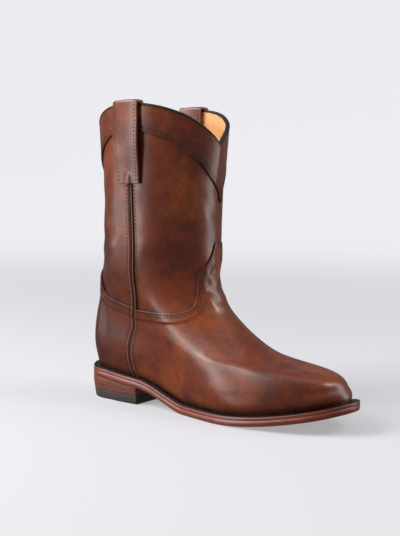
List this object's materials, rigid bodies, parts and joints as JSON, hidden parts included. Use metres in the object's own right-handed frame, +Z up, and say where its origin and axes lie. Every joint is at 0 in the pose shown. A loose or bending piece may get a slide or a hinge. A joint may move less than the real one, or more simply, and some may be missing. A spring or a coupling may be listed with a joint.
{
  "type": "roper boot",
  "caption": "Pull-on leather roper boot for a right foot, with a round toe, a low stacked heel, a welted leather sole, a scalloped shaft and pull straps.",
  "frame": {"origin": "on the floor under the centre of the heel, at the top lift's underside", "axes": "+X towards the toe, +Y towards the inner (medial) side of the foot, +Z up"},
  "size_m": [0.3025, 0.1314, 0.3038],
  "materials": {
    "sole_leather": "burnished sole edge",
    "welt_leather": "dark waxed",
    "insole_leather": "natural",
    "heel_leather": "stacked, stained",
    "lift_rubber": "matte",
    "upper_leather": "smooth, burnished",
    "panel_leather": "smooth, burnished",
    "strap_leather": "smooth",
    "edge_leather": "black, satin"
  },
  "bodies": {
    "root": {"outsole": "sole_leather", "welt": "welt_leather", "insole": "insole_leather", "heel_stack": "heel_leather", "top_lift": "lift_rubber", "upper": "upper_leather", "vamp": "panel_leather", "counter": "panel_leather", "collar_front": "panel_leather", "collar_back": "panel_leather", "collar_binding": "edge_leather", "piping_lateral": "edge_leather", "piping_medial": "edge_leather", "pull_strap_lateral": "strap_leather", "pull_strap_medial": "strap_leather"}
  },
  "joints": []
}
